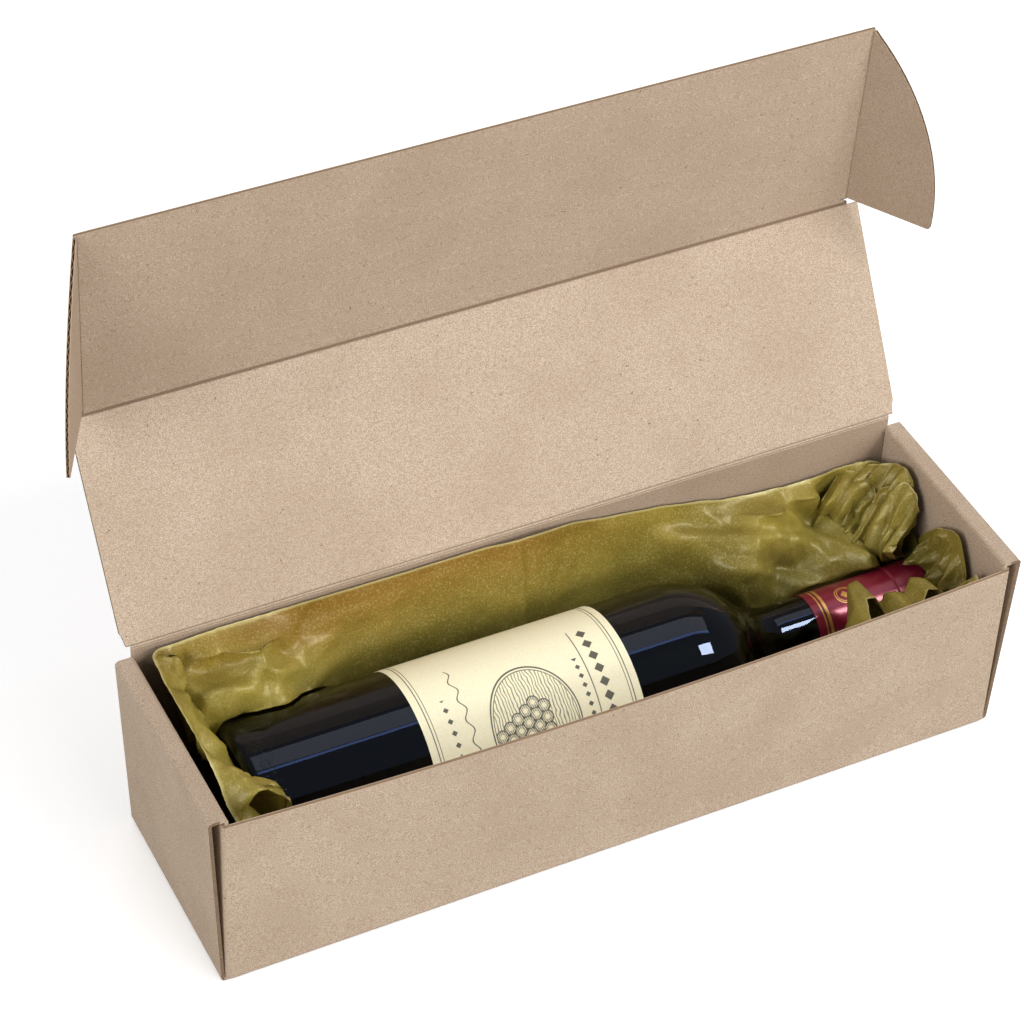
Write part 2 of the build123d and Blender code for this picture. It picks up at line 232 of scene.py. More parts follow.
def kraft_liner(graph, painted_shade=0.0):
    """Colour and normal of the liner: mottled pulp, fine fibres, a few dark flecks, and painted shade where
    asked.
    """
    spot = graph.place.outputs["Object"]
    mottle = graph.noise(spot, 2300.0, 2.0, 0.7)
    cloud = graph.noise(spot, 26.0, 2.0, 0.5)
    colour = graph.mix(graph.band(mottle, 0.34, 0.66), KRAFT_DARK, KRAFT_LIGHT)
    colour = graph.mix(0.12, colour, KRAFT)
    colour = graph.mix(graph.band(cloud, 0.35, 0.7, 0.0, 0.22), colour, KRAFT_DARK)
    fibre = graph.noise(graph.scaled(spot, (1.0, 5.0, 5.0)), 420.0, 2.0, 0.6, 1.5)
    colour = graph.mix(graph.band(fibre, 0.62, 0.75, 0.0, 0.4), colour, KRAFT_LIGHT)
    flecks = graph.noise(graph.shifted(spot, (3.1, 1.7, 0.4)), 620.0, 1.0, 0.5)
    colour = graph.mix(graph.band(flecks, 0.735, 0.79, 0.0, 0.75), colour, FLECK)
    # painted shade: the liner darkened towards the fleck colour for a panel in shade
    if painted_shade:
        colour = graph.mix(painted_shade, colour, FLECK)
    normal = graph.bump(mottle, 0.00005, 0.5)
    return colour, normal


def edge_colour(graph, across, along):
    """Colour of a cut edge from the place across the board (-1 to 1) and, where flutes open, along it; the
    holes of open flutes are painted shade.
    """
    depth = graph.math("ABSOLUTE", across)
    liner = graph.band(depth, 0.66, 0.74)
    if along is None:
        core = graph.mix(graph.noise(graph.place.outputs["Object"], 700.0, 1.0), MEDIUM, KRAFT_DARK)
    else:
        # open flutes: their holes are painted dark as painted shade
        wave = graph.math("SINE", graph.math("MULTIPLY", along, 2 * pi / FLUTE_PITCH))
        off = graph.math("ABSOLUTE", graph.math("SUBTRACT", across, graph.math("MULTIPLY", wave, 0.6)))
        core = graph.mix(graph.band(off, 0.16, 0.3), MEDIUM, FLUTE_HOLE_SHADE)
    return graph.mix(liner, core, KRAFT)


def panel_material(name, origin, normal, flute, repeat, creases=(), painted_shade=0.0):
    """Kraft for a flat panel whose cut edges show the board: flutes open where the edge faces along them;
    creases are darkened as pressed board and as painted shade, and the liner takes painted shade where
    asked.
    """
    graph = Graph(name)
    colour, bump = kraft_liner(graph, painted_shade)
    facing = graph.place.outputs["Normal"]
    spot = graph.shifted(graph.place.outputs["Object"], tuple(-v for v in origin))
    across = graph.math("DIVIDE", graph.dot(spot, normal), BOARD / 2)
    # each crease is darkened, partly as pressed board and partly as painted shade in the fold
    for place in creases:
        off = graph.math("ABSOLUTE", graph.math("SUBTRACT", graph.dot(spot, repeat), place))
        pressed_and_shaded = graph.band(off, 0.5 * MM, 1.5 * MM, 0.75, 0.0)
        colour = graph.mix(pressed_and_shaded, colour, CREASE_PRESSED_AND_SHADED)
    on_edge = graph.band(graph.math("ABSOLUTE", graph.dot(facing, normal)), 0.15, 0.3, 1.0, 0.0)
    opened = graph.band(graph.math("ABSOLUTE", graph.dot(facing, flute)), 0.3, 0.5)
    closed_edge = edge_colour(graph, across, None)
    open_edge = edge_colour(graph, across, graph.dot(spot, repeat))
    edge = graph.mix(opened, closed_edge, open_edge)
    colour = graph.mix(on_edge, colour, edge)
    return graph.finish(colour, KRAFT_ROUGHNESS, bump, Specular_IOR_Level=KRAFT_GLOSS)


def tray_material():
    """Kraft for the folded tray: the board's core on the front rim and the cut ends, the cut ends partly in
    painted shade, and painted shade on the inside of the back wall.
    """
    graph = Graph("kraft_tray")
    colour, bump = kraft_liner(graph)
    spot = graph.place.outputs["Object"]
    facing = graph.place.outputs["Normal"]
    x, y, z = graph.split(spot)
    half_length, half_width = BOX_LENGTH / 2, BOX_WIDTH / 2
    share = graph.math("POWER", graph.math("DIVIDE", x, half_length), 2.0)
    bow = graph.math("MULTIPLY", graph.math("SUBTRACT", 1.0, share), WALL_BOW)
    middle = graph.math("SUBTRACT", -half_width + BOARD / 2, bow)
    across = graph.math("DIVIDE", graph.math("SUBTRACT", y, middle), BOARD / 2)
    on_rim = graph.math("MULTIPLY", graph.band(z, FRONT_HEIGHT - 0.3 * MM, FRONT_HEIGHT - 0.1 * MM),
                        graph.band(y, -half_width + 2 * MM, -half_width + 3 * MM, 1.0, 0.0))
    inside = graph.band(graph.math("ABSOLUTE", x), half_length - 0.5 * MM, half_length - 0.2 * MM, 1.0, 0.0)
    on_rim = graph.math("MULTIPLY", on_rim, inside)
    up = graph.band(graph.dot(facing, (0, 0, 1)), 0.6, 0.8)
    on_rim = graph.math("MULTIPLY", on_rim, up)
    colour = graph.mix(on_rim, colour, edge_colour(graph, across, None))
    # painted shade: the inside of the back wall darkened towards the fleck colour
    back_wall_shade = graph.math("MULTIPLY", graph.band(graph.dot(facing, (0, -1, 0)), 0.9, 0.97),
                             graph.band(y, half_width - 4 * MM, half_width - 3 * MM))
    colour = graph.mix(graph.math("MULTIPLY", back_wall_shade, BACK_WALL_PAINTED_SHADE), colour, FLECK)
    sideways = graph.band(graph.math("ABSOLUTE", graph.dot(facing, (0, 1, 0))), 0.9, 0.97)
    end = graph.band(graph.math("ABSOLUTE", x), half_length + 0.3 * MM, half_length + 0.5 * MM)
    cut = graph.math("MULTIPLY", sideways, end)
    # cut ends: the board's medium mixed with painted shade of the flutes' holes
    core = graph.mix(graph.noise(spot, 700.0, 1.0), FLUTE_HOLE_SHADE, MEDIUM)
    colour = graph.mix(graph.math("MULTIPLY", cut, 0.8), colour, core)
    return graph.finish(colour, KRAFT_ROUGHNESS, bump, Specular_IOR_Level=KRAFT_GLOSS)


def dress(node, material):
    """Gives a CAD node its material."""
    for slot in frame["nodes"][node].material_slots:
        slot.material = material


def joint_point(name):
    """A point on a joint's axis."""
    return Vector(JOINTS[name]["pos_m"])


def dress_board():
    """Materials of the tray, lid, flap and ears, from the joints' own places and axes."""
    hinge = joint_point("lid_hinge")
    fold = joint_point("flap_fold")
    lid_up = (fold - hinge).normalized()
    along_x = Vector((1, 0, 0))
    flap_up = Vector(JOINTS["left_ear_fold"]["axis"]).normalized()
    dress("tray", tray_material())
    reach = (fold - hinge).length
    dress("lid", panel_material("kraft_lid", hinge, along_x.cross(lid_up), along_x, lid_up, (0.0, reach)))
    inward = along_x.cross(flap_up)
    # the flap's liner takes painted shade
    dress("tuck_flap", panel_material("kraft_flap", fold, inward, along_x, flap_up, (0.0,), FLAP_PAINTED_SHADE))
    for side, name in ((1, "right_ear"), (-1, "left_ear")):
        joint = name + "_fold"
        turn = radians(-JOINTS[joint]["range_deg"][0])
        outward = along_x * side * cos(turn) + inward * sin(turn)
        normal = outward.cross(flap_up)
        place = joint_point(joint)
        # the ears' liners take painted shade
        dress(name, panel_material("kraft_" + name, place, normal, outward, flap_up, (), EAR_PAINTED_SHADE))


# Bottle

def arc(centre, radius, start, end, steps):
    """Points of an arc in (x, r), angles in radians from +x."""
    return [
        (centre[0] + radius * cos(start + (end - start) * i / steps),
         centre[1] + radius * sin(start + (end - start) * i / steps))
        for i in range(steps + 1)
    ]


def shoulder_points(inset):
    """Shoulder from the body to the neck, set in from the outer glass."""
    rise = NECK_RADIUS + NECK_BLEND - BOTTLE_RADIUS + SHOULDER_RADIUS
    run = sqrt((SHOULDER_RADIUS + NECK_BLEND) ** 2 - rise ** 2)
    turn = atan2(run, rise)
    low = (SHOULDER_START, BOTTLE_RADIUS - SHOULDER_RADIUS)
    high = (SHOULDER_START + run, NECK_RADIUS + NECK_BLEND)
    first = arc(low, SHOULDER_RADIUS - inset, pi / 2, pi / 2 - turn, 24)
    second = arc(high, NECK_BLEND + inset, -pi / 2 - turn, -pi / 2, 18)
    return first + second[1:]


def outer_profile():
    """Outside of the glass from the middle of the punt to the mouth."""
    dome = (BOTTLE_BASE + PUNT_DEPTH - PUNT_RADIUS, 0.0)
    points = arc(dome, PUNT_RADIUS, 0.0, radians(75), 16)
    ring = BOTTLE_RADIUS - HEEL
    points += [(BOTTLE_BASE + 0.5 * MM, ring - 3.4 * MM), (BOTTLE_BASE, ring - 2 * MM)]
    points += [(BOTTLE_BASE + 0.2 * MM, ring)]
    points += arc((BOTTLE_BASE + HEEL, ring), HEEL, radians(172), pi / 2, 10)
    points += [(BOTTLE_BASE + HEEL + 20 * MM * i, BOTTLE_RADIUS) for i in range(1, 9)]
    points += shoulder_points(0.0)
    finish = BOTTLE_MOUTH - FINISH_LENGTH
    band = NECK_RADIUS + 0.5 * MM
    points += [(finish, NECK_RADIUS), (finish + 0.5 * MM, band)]
    points += [(BOTTLE_MOUTH - 1 * MM, band), (BOTTLE_MOUTH, NECK_RADIUS - 0.5 * MM)]
    return points


def cavity_profile(play, end):
    """Inside of the glass from its base to end, set in by a play."""
    wall = BOTTLE_RADIUS - GLASS - play
    dome_radius = PUNT_RADIUS + 4.5 * MM + play
    dome = (BOTTLE_BASE + PUNT_DEPTH - PUNT_RADIUS, 0.0)
    rim = wall - 3.3 * MM
    stop = atan2(rim, sqrt(dome_radius ** 2 - rim ** 2))
    points = arc(dome, dome_radius, 0.0, stop, 14)
    foot = points[-1][0]
    points += [(foot + 0.6 * MM, rim + 1.6 * MM), (foot + 2 * MM, rim + 2.7 * MM), (foot + 5 * MM, wall)]
    points += shoulder_points(GLASS + play)
    points += [(SHOULDER_START + 66 * MM, BORE_RADIUS - play), (end, BORE_RADIUS - play)]
    return points


def lathe(name, profile):
    """Turns a profile of (x, r) about the bottle's axis; points on the axis become one vertex."""
    verts, rings = [], []
    for x, r in profile:
        if r < 1e-6:
            rings.append([len(verts)] * ROUND)
            verts.append((x, BOTTLE_Y, BOTTLE_Z))
            continue
        rings.append(list(range(len(verts), len(verts) + ROUND)))
        for i in range(ROUND):
            turn = 2 * pi * i / ROUND
            verts.append((x, BOTTLE_Y + r * cos(turn), BOTTLE_Z + r * sin(turn)))
    faces = []
    for low, high in zip(rings, rings[1:]):
        for i in range(ROUND):
            j = (i + 1) % ROUND
            corners = [low[i], low[j], high[j], high[i]]
            unique = [v for k, v in enumerate(corners) if v != corners[k - 1]]
            if len(unique) > 2:
                faces.append(unique)
    return make_piece(name, verts, faces)


def make_piece(name, verts, faces, smooth=True, angle=32):
    """New object from points and faces; edges sharper than the angle, in degrees, stay sharp."""
    mesh = bpy.data.meshes.new(name)
    mesh.from_pydata(verts, [], faces)
    mesh.validate()
    mesh.update()
    piece = bpy.data.objects.new(name, mesh)
    bpy.context.collection.objects.link(piece)
    if smooth:
        mesh.shade_smooth()
        mesh.set_sharp_from_angle(angle=radians(angle))
    return piece


def settle(piece, body, material, slot, *replaced):
    """Joins a finished piece to its body and material; the slot argument is not used."""
    piece.data.materials.append(material)
    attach(piece, body)
    if replaced:
        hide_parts(*replaced)
    return piece


def glass_material():
    """Dark olive glass, with painted light as a paler tint at its heel; its base carries a ring of fine
    stippling.
    """
    graph = Graph("bottle_glass")
    spot = graph.place.outputs["Object"]
    ripple = graph.noise(graph.scaled(spot, (0.6, 1.0, 1.0)), 55.0, 1.0, 0.4)
    colour = graph.mix(graph.noise(spot, 18.0), srgb(40, 48, 22), srgb(56, 64, 28))
    x = graph.split(spot)[0]
    # painted light: the glass tinted paler at the heel
    lit_heel = graph.band(x, BOTTLE_BASE + 3 * MM, BOTTLE_BASE + 9 * MM, 1.0, 0.0)
    colour = graph.mix(lit_heel, colour, srgb(126, 134, 72))
    low = graph.band(x, BOTTLE_BASE + 6 * MM, BOTTLE_BASE + 7.5 * MM)
    high = graph.band(x, BOTTLE_BASE + 12 * MM, BOTTLE_BASE + 14 * MM, 1.0, 0.0)
    dots = graph.band(graph.noise(spot, 650.0, 0.0), 0.58, 0.66)
    stipple = graph.math("MULTIPLY", dots, graph.math("MULTIPLY", low, high))
    normal = graph.bump(ripple, 0.0004, 0.12)
    normal = graph.bump(stipple, 0.00025, 0.5, normal)
    return graph.finish(colour, 0.015, normal, Transmission_Weight=1.0, IOR=1.5, Specular_IOR_Level=0.6,
                        Specular_Tint=(0.6, 0.72, 1.0, 1.0))


def wine_material():
    """Wine, nearly black through the glass."""
    graph = Graph("wine_dark")
    colour = graph.mix(graph.noise(graph.place.outputs["Object"], 30.0), srgb(20, 22, 66), srgb(30, 30, 80))
    return graph.finish(colour, 0.3, None, Specular_IOR_Level=0.2)


def cork_material():
    """Pale bark with darker grain."""
    graph = Graph("cork_bark")
    spot = graph.place.outputs["Object"]
    grain = graph.noise(spot, 500.0, 3.0, 0.6)
    colour = graph.mix(graph.band(grain, 0.4, 0.65), srgb(150, 112, 74), srgb(196, 160, 116))
    return graph.finish(colour, 0.8, graph.bump(grain, 0.0002, 0.5))


def unrolled(graph, middle, radius, x_middle):
    """Place on the unrolled skin, in millimetres: along the axis and round it from a middle angle."""
    spot = graph.shifted(graph.place.outputs["Object"], (-x_middle, -BOTTLE_Y, -BOTTLE_Z))
    along = graph.math("MULTIPLY", graph.dot(spot, (1, 0, 0)), 1 / MM)
    out = graph.dot(spot, (0, cos(middle), sin(middle)))
    side = graph.dot(spot, (0, -sin(middle), cos(middle)))
    round_it = graph.math("MULTIPLY", graph.math("ARCTAN2", side, out), radius / MM)
    return along, round_it


# Prints, in millimetres from the label's middle and from the capsule's lower edge

BUNCH_ROWS = (4, 5, 4, 3, 2, 1)
BUNCH_TOP = 5.0
GRAPE_DROP = 4.2
GRAPE_PITCH = 4.9
ORNAMENT_PLACE = 17.5
WIDE_ROW = 36.0
NARROW_ROW = 22.0
OVAL_HALF_WIDTH = 19.5
OVAL_HALF_HEIGHT = 26.0
OVAL_SIZE = 20.0
INK_EDGE = 0.12


def line_at(graph, value, place, half_width):
    """1 on a line of a given half width where value passes place, else 0."""
    off = graph.math("ABSOLUTE", graph.math("SUBTRACT", value, place))
    return graph.band(off, half_width, half_width + INK_EDGE, 1.0, 0.0)


def lozenges(graph, along, round_it, row, pitch, size):
    """A row of lozenges round the bottle."""
    cell = graph.math("FRACT", graph.math("DIVIDE", round_it, pitch))
    off = graph.math("MULTIPLY", graph.math("ABSOLUTE", graph.math("SUBTRACT", cell, 0.5)), pitch)
    up = graph.math("ABSOLUTE", graph.math("SUBTRACT", along, row))
    return graph.band(graph.math("ADD", off, up), size, size + 0.2, 1.0, 0.0)


def any_of(graph, *marks):
    """Greatest of several marks."""
    total = marks[0]
    for mark in marks[1:]:
        total = graph.math("MAXIMUM", total, mark)
    return total


def both(graph, a, b):
    """Where two marks meet."""
    return graph.math("MULTIPLY", a, b)


def capsule_material():
    """Satin burgundy with two gold bands at the lower edge and a gold ring round a lozenge."""
    graph = Graph("capsule_foil")
    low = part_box("capsule")[0]
    along, round_it = unrolled(graph, CAPSULE_MIDDLE, NECK_RADIUS + CAPSULE_OUT, low[0])
    spot = graph.place.outputs["Object"]
    brushed = graph.noise(graph.scaled(spot, (1.0, 6.0, 6.0)), 300.0, 2.0)
    wine_red = graph.mix(brushed, srgb(112, 16, 38), srgb(146, 32, 58))
    gold = graph.mix(brushed, srgb(206, 150, 66), srgb(244, 206, 126))
    far = graph.distance(graph.flat_point(along, round_it), (ORNAMENT_PLACE, 0.0, 0.0))
    ring = line_at(graph, far, 4.4, 0.22)
    inner = line_at(graph, far, 3.5, 0.12)
    diamond = graph.math("ADD", graph.math("ABSOLUTE", round_it),
                         graph.math("ABSOLUTE", graph.math("SUBTRACT", along, ORNAMENT_PLACE)))
    lozenge = graph.band(diamond, 1.9, 2.05, 1.0, 0.0)
    thin, wide = line_at(graph, along, 4.1, 0.28), line_at(graph, along, 6.2, 0.62)
    print_gold = any_of(graph, thin, wide, ring, inner, lozenge)
    colour = graph.mix(print_gold, wine_red, gold)
    metal = graph.math("ADD", 0.3, graph.math("MULTIPLY", print_gold, 0.5))
    return graph.finish(colour, 0.3, graph.bump(brushed, 0.00005, 0.4), Metallic=metal, Coat_Weight=0.25)


def grapes(graph, point):
    """Distance to the nearest grape's centre in a hanging bunch."""
    nearest = None
    for row, number in enumerate(BUNCH_ROWS):
        for k in range(number):
            place = (BUNCH_TOP - GRAPE_DROP * row, (k - (number - 1) / 2) * GRAPE_PITCH, 0.0)
            far = graph.distance(point, place)
            nearest = far if nearest is None else graph.math("MINIMUM", nearest, far)
    return nearest


def label_material():
    """Cream paper with fine double borders, a bunch of grapes in an oval, and rows of lozenges."""
    graph = Graph("label_paper")
    low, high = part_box("label")
    middle = (low[0] + high[0]) / 2
    half = (high[0] - low[0]) / 2 / MM
    along, round_it = unrolled(graph, LABEL_MIDDLE, BOTTLE_RADIUS, middle)
    point = graph.flat_point(along, round_it)
    spot = graph.place.outputs["Object"]
    pulp = graph.noise(spot, 1400.0, 2.0)
    paper = graph.mix(graph.band(pulp, 0.35, 0.7), srgb(252, 246, 214), srgb(246, 238, 201))
    reach = graph.math("ABSOLUTE", along)
    borders = any_of(graph, line_at(graph, reach, half - 3.4, 0.16), line_at(graph, reach, half - 4.8, 0.1))
    close = graph.band(graph.math("ABSOLUTE", round_it), WIDE_ROW, WIDE_ROW + 0.4, 1.0, 0.0)
    narrow = graph.band(graph.math("ABSOLUTE", round_it), NARROW_ROW, NARROW_ROW + 0.4, 1.0, 0.0)
    chain = both(graph, lozenges(graph, along, round_it, 33.5, 6.0, 2.2), close)
    rule = both(graph, line_at(graph, along, 28.2, 0.18), close)
    beads = both(graph, lozenges(graph, along, round_it, 24.8, 4.0, 1.1), narrow)
    vine = graph.math("MULTIPLY", graph.math("SINE", graph.math("MULTIPLY", round_it, 2 * pi / 9)), 1.1)
    flourish = both(graph, line_at(graph, graph.math("SUBTRACT", along, vine), -27.5, 0.22), close)
    foot = both(graph, lozenges(graph, along, round_it, -35.0, 5.0, 1.2), narrow)
    oval = graph.add("ShaderNodeVectorMath", operation="LENGTH")
    graph.feed(oval.inputs[0], graph.scaled(point, (1 / OVAL_HALF_WIDTH, 1 / OVAL_HALF_HEIGHT, 0.0)))
    around = graph.math("MULTIPLY", oval.outputs["Value"], OVAL_SIZE)
    oval_lines = any_of(graph, line_at(graph, around, OVAL_SIZE, 0.26), line_at(graph, around, 18.9, 0.12))
    inside = graph.band(around, 18.6, 18.9, 1.0, 0.0)
    grape = grapes(graph, point)
    on_grape = graph.band(grape, 2.5, 2.7, 1.0, 0.0)
    outline = line_at(graph, grape, 2.55, 0.2)
    slant = graph.math("MULTIPLY", graph.math("ADD", along, round_it), 1.1)
    hatch = graph.band(graph.math("FRACT", slant), 0.4, 0.6)
    shade = both(graph, both(graph, hatch, on_grape), graph.band(grape, 0.7, 1.4))
    wave = graph.math("MULTIPLY", graph.noise(point, 0.16, 2.0), 3.0)
    rays = graph.math("FRACT", graph.math("MULTIPLY", graph.math("ADD", along, wave), 0.72))
    field = both(graph, graph.band(rays, 0.62, 0.72), graph.math("SUBTRACT", 1.0, on_grape))
    field = both(graph, both(graph, field, inside), 0.75)
    ink = any_of(graph, borders, chain, rule, beads, flourish, foot, oval_lines)
    ink = any_of(graph, ink, both(graph, outline, inside), both(graph, shade, inside), field)
    colour = graph.mix(graph.math("MULTIPLY", ink, 0.9), paper, srgb(48, 45, 42))
    return graph.finish(colour, 0.55, graph.bump(pulp, 0.00003, 0.3), Specular_IOR_Level=0.3)


def make_bottle():
    """Glass and wine as new pieces; the cork, the capsule and the label keep their solids."""
    outer = outer_profile()
    inner = cavity_profile(0.0, BOTTLE_MOUTH)
    glass = lathe("bottle_glass", outer + inner[::-1])
    settle(glass, "tray", glass_material(), "bottle_glass", "bottle")
    fill = cavity_profile(-WINE_OVERLAP, BOTTLE_MOUTH - CORK_LENGTH - CORK_GAP)
    wine = lathe("wine_body", fill + [(fill[-1][0], 0.0)])
    settle(wine, "tray", wine_material(), "wine", "wine")
    dress("cork", cork_material())
    dress("capsule", capsule_material())
    dress("label", label_material())


# Tissue, in millimetres: the sheet lines the room round the bottle, and loose lobes stand at its right end

ROOM_END = 171.3
ROOM_FRONT = -45.1
ROOM_BACK = 47.35
ROOM_TOP = 96.2
CORNER = 7.0
FOOT = 2.0
SHEET_GAP = 1.1
MOUTH_PLAY = 1.5
NECK_REACH = 14.8       # of the capsule and its band, which the sheet keeps clear of as well
WALL_ROWS = 66
FLOOR_ROWS = 8
FLOOR_END = 146
LOOP_STEP = 1.15
PROFILE_STEPS = 120

# Crumples: cell, seed and size of each layer of facets, and where the sheet is crumpled most
CRUMPLE_LAYERS = ((44.0, 5, 6.5), (21.0, 17, 6.6), (11.0, 29, 3.2), (6.2, 41, 1.4))
CRUMPLE_MIDDLE = 0.16
CRUMPLE_LEFT = 1.14
CRUMPLE_RIGHT = 1.25
NOISE_SEED = 7

# Rim: place on the room's wall (x, y), how far the edge stands in from it, and its height
RIM = (
    (-60, ROOM_FRONT, 0.5, 44), (60, ROOM_FRONT, 0.5, 46), (96, ROOM_FRONT, 1, 56),
    (110, ROOM_FRONT, 2, 62), (117, ROOM_FRONT, 4, 75), (121, ROOM_FRONT, 12, 75),
    (124, ROOM_FRONT, 19, 73), (128, ROOM_FRONT, 18, 74), (131, ROOM_FRONT, 13, 66),
    (134, ROOM_FRONT, 6, 70), (138, ROOM_FRONT, 3, 75), (143, ROOM_FRONT, 5, 73),
    (147, ROOM_FRONT, 9, 79), (151, ROOM_FRONT, 5, 81), (155, ROOM_FRONT, 4, 73),
    (160, ROOM_FRONT, 2, 75), (163, ROOM_FRONT, 1.5, 79), (ROOM_END, -38, 1.5, 80),
    (ROOM_END, -30, 0.8, 66), (ROOM_END, 5, 0.8, 60), (ROOM_END, 25, 0.8, 70), (ROOM_END, 38, 1, 79),
    (164, ROOM_BACK, 3, 79.5), (158, ROOM_BACK, 1, 78.5), (150, ROOM_BACK, 0.8, 78.4),
    (142, ROOM_BACK, 1.2, 77.6), (128, ROOM_BACK, 0.8, 77.2), (112, ROOM_BACK, 0.8, 78.6),
    (96, ROOM_BACK, 0.6, 80.5), (81, ROOM_BACK, 0.6, 84.5), (60, ROOM_BACK, 0.6, 88.6),
    (42, ROOM_BACK, 0.6, 91), (20, ROOM_BACK, 0.8, 94.6), (4, ROOM_BACK, 2.4, 95.8),
    (-6, ROOM_BACK, 2.2, 95.6), (-20, ROOM_BACK, 0.8, 95.6), (-60, ROOM_BACK, 0.6, 95.4),
    (-100, ROOM_BACK, 0.6, 95.8), (-140, ROOM_BACK, 0.6, 96.2), (-158, ROOM_BACK, 1, 95.4),
    (-ROOM_END, 38, 1.6, 95.6), (-ROOM_END, 26, 0.7, 95.8), (-ROOM_END, 12, 0.6, 97),
    (-ROOM_END, -8, 0.6, 96.6), (-ROOM_END, -18, 0.8, 94.5), (-ROOM_END, -26, 1.4, 90),
    (-ROOM_END, -34, 1.6, 84), (-ROOM_END, -40, 3, 80), (-166, ROOM_FRONT, 2, 77),
    (-158, ROOM_FRONT, 2, 78), (-150, ROOM_FRONT, 4, 70), (-138, ROOM_FRONT, 1, 62),
    (-120, ROOM_FRONT, 0.6, 50),
)

# Sections of the lining from its rim to its foot: how far in from the wall, at these shares of the height
SECTION_HEIGHTS = (1.0, 0.955, 0.9, 0.8, 0.66, 0.5, 0.3, 0.1, 0.0)
SECTIONS = {
    "back": (0, 0.6, 1.4, 3.5, 7.0, 9.0, 7.0, 5.0, 8.0),
    "bulge": (0, 1.0, 2.5, 9.0, 19.0, 15.0, 9.0, 6.0, 9.0),
    "slope": (0, 0.8, 2.5, 9.0, 19.0, 28.0, 30.0, 20.0, 12.0),
    "left": (0, 8.0, 12.5, 15.5, 17.0, 17.5, 17.0, 13.0, 12.0),
    "right": (0, 0.5, 1.0, 2.0, 3.0, 4.0, 4.0, 4.0, 7.0),
    "front": (0, 0.4, 0.6, 0.2, -0.6, 0.0, 1.5, 2.5, 6.0),
}

# Folds pressed into the back: ends (x, z), width of the slope and its depth, towards the lower side
BACK_FOLDS = (
    ((-158, 84), (-96, 61), 5.0, 5.0),
    ((-108, 82), (-90, 79), 2.0, 1.6),
    ((-100, 86), (-30, 92), 3.0, 0.9),
    ((-2, 97), (-3, 52), 1.6, 0.9),
    ((24, 92), (22, 74), 1.6, 0.6),
    ((66, 78), (132, 58), 4.0, 6.0),
    ((112, 77), (152, 48), 3.0, 7.0),
    ((84, 62), (126, 46), 4.0, 6.0),
    ((136, 78), (160, 40), 3.0, 7.0),
)

# Loose lobes: points of the rim and of the base, bulge towards the light, and the pleats' depth
LOBES = (
    {
        "rim": (
            (157, 46.5, 78), (162, 45.5, 78.5), (164.5, 42, 79.5), (168, 38.5, 81.5), (169.5, 33, 86),
            (170.5, 27.6, 88.6), (170.5, 22, 89.6), (170.5, 17.4, 87.4), (169.9, 13.2, 79.7),
            (168.5, 9.7, 70),
        ),
        "base": (
            (143, 37, 44), (146, 35, 42), (149, 33, 41), (152, 31, 40), (155, 28, 40), (158, 25, 40),
            (160, 21, 41), (162, 17, 43), (164, 13, 46), (163.5, 9, 50),
        ),
        "bulge": 7.0,
        "pleats": 7,
        "depth": 3.4,
    },
    {
        "rim": (
            (169.9, 7.5, 62), (170.5, 3, 70), (170.7, -3, 77), (170.9, -9.4, 82),
            (170.9, -16.5, 86.2), (170.9, -21.5, 85.6), (170.7, -26, 79), (169.9, -30.5, 70),
            (169.3, -34, 60),
        ),
        "base": (
            (169.5, 4, 48), (169.5, 0, 46), (169.5, -5, 46), (169.5, -10, 46), (169.5, -15, 47),
            (169.1, -20, 49), (168.5, -26, 51), (167.5, -31, 52), (165.5, -36, 52),
        ),
        "bulge": 2.6,
        "pleats": 5,
        "depth": 2.2,
    },
    {
        "rim": (
            (161.5, 28, 78), (163.5, 24, 82), (164, 20, 85), (167, 16, 86), (168.5, 12, 83),
            (168.5, 8.5, 77),
        ),
        "base": (
            (152, 22, 46), (154, 19, 46), (157, 16, 47), (160, 13, 49), (163, 10, 52), (163, 6, 55),
        ),
        "bulge": 9.0,
        "pleats": 4,
        "depth": 2.2,
    },
    {
        "rim": (
            (150, 44, 77), (154, 41, 78.5), (158, 36, 78), (160, 31, 74), (160, 27, 69),
        ),
        "base": (
            (132, 43, 46), (136, 40, 45), (141, 36, 44), (146, 32, 44), (150, 28, 45),
        ),
        "bulge": 5.0,
        "pleats": 3,
        "depth": 2.4,
    },
)
LOBE_ROWS = 56
LOBE_STEP = 0.8
LOBE_SEED = 100
LOBE_SEED_STEP = 7
LOBE_LIGHT = (-0.45, -0.55, 0.7)
LOBE_CURL = 2.0


def smooth(value, low, high):
    """Smooth rise from 0 at low to 1 at high."""
    share = min(max((value - low) / (high - low), 0.0), 1.0)
    return share * share * (3 - 2 * share)


def through(points, share):
    """Point on a smooth line through points, at a share of their number."""
    place = min(max(share, 0.0), 1.0) * (len(points) - 1)
    first = min(int(place), len(points) - 2)
    t = place - first
    picks = [points[min(max(first + k, 0), len(points) - 1)] for k in (-1, 0, 1, 2)]
    weights = (
        -0.5 * t + t * t - 0.5 * t ** 3,
        1 - 2.5 * t * t + 1.5 * t ** 3,
        0.5 * t + 2 * t * t - 1.5 * t ** 3,
        -0.5 * t * t + 0.5 * t ** 3,
    )
    return Vector([sum(w * p[axis] for w, p in zip(weights, picks)) for axis in range(len(points[0]))])


